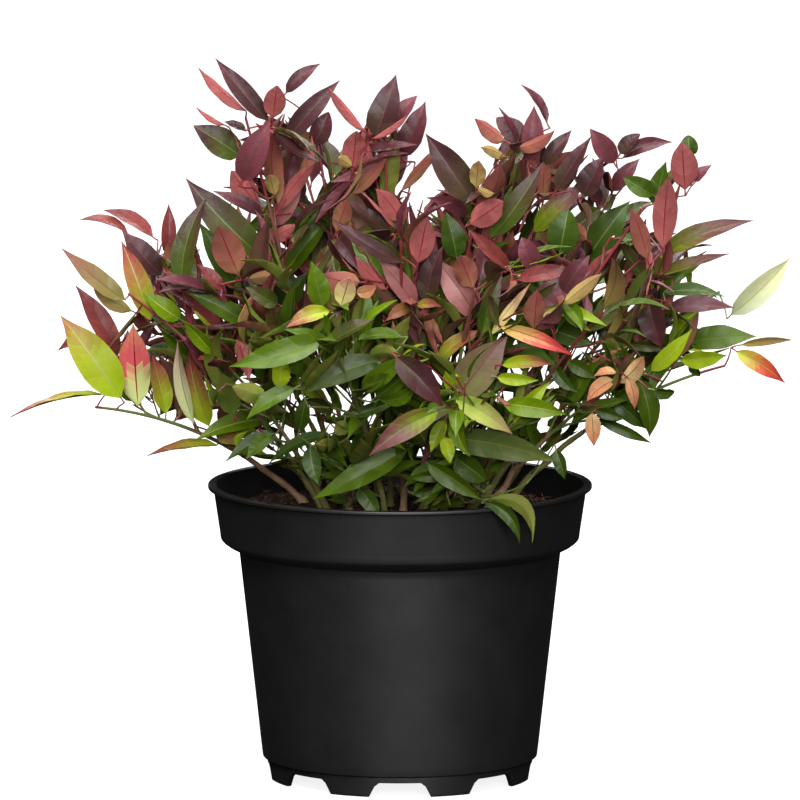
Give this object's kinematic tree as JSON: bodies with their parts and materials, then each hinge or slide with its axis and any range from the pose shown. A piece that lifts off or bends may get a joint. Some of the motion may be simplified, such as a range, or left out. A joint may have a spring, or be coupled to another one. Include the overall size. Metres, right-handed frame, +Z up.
{
  "type": "potted leucothoe",
  "caption": "Bushy evergreen shrub with arching canes and burgundy, green and lime leaves, in a round black nursery pot with a deep collar and a notched foot.",
  "frame": {"origin": "middle of the pot's foot, on the ground it stands on", "axes": "+Z up along the pot's axis, +X along the plant's widest spread, -Y towards its front"},
  "size_m": [0.474, 0.388, 0.4384],
  "materials": {
    "pot_plastic": "satin moulded black plastic",
    "peat": "moist crumbly peat",
    "bark": "thin olive and tan bark",
    "burgundy_leaves": "satin leaf",
    "green_leaves": "satin leaf"
  },
  "bodies": {
    "root": {"pot": "pot_plastic", "root_ball": "peat", "cane_left_arm": "bark", "cane_left_shoulder": "bark", "cane_left_high": "bark", "cane_top_left_outer": "bark", "cane_top_left_inner": "bark", "cane_top_middle": "bark", "cane_top_right_inner": "bark", "cane_top_right": "bark", "cane_right_high": "bark", "cane_right_upper": "bark", "cane_right_shoulder": "bark", "cane_right_arm_high": "bark", "cane_right_arm": "bark", "cane_right_low_arm": "bark", "cane_front_centre": "bark", "cane_front_right": "bark", "cane_front_left": "bark", "cane_left_middle": "bark", "cane_low_front_left": "bark", "cane_low_front_right": "bark", "cane_right_front": "bark", "cane_rim_left": "bark", "cane_rim_right": "bark", "cane_back_left": "bark", "cane_back_high_left": "bark", "cane_back_middle": "bark", "cane_back_high_right": "bark", "cane_back_right": "bark", "foliage_left_arm": "green_leaves", "foliage_left_shoulder": "green_leaves", "foliage_left_high": "burgundy_leaves", "foliage_top_left_outer": "burgundy_leaves", "foliage_top_left_inner": "burgundy_leaves", "foliage_top_middle": "burgundy_leaves", "foliage_top_right_inner": "burgundy_leaves", "foliage_top_right": "burgundy_leaves", "foliage_right_high": "burgundy_leaves", "foliage_right_upper": "burgundy_leaves", "foliage_right_shoulder": "burgundy_leaves", "foliage_right_arm_high": "green_leaves", "foliage_right_arm": "green_leaves", "foliage_right_low_arm": "green_leaves", "foliage_front_centre": "burgundy_leaves", "foliage_front_right": "burgundy_leaves", "foliage_front_left": "burgundy_leaves", "foliage_left_middle": "green_leaves", "foliage_low_front_left": "green_leaves", "foliage_low_front_right": "green_leaves", "foliage_right_front": "green_leaves", "foliage_rim_left": "green_leaves", "foliage_rim_right": "green_leaves", "foliage_back_left": "green_leaves", "foliage_back_high_left": "burgundy_leaves", "foliage_back_middle": "burgundy_leaves", "foliage_back_high_right": "burgundy_leaves", "foliage_back_right": "green_leaves"}
  },
  "joints": []
}
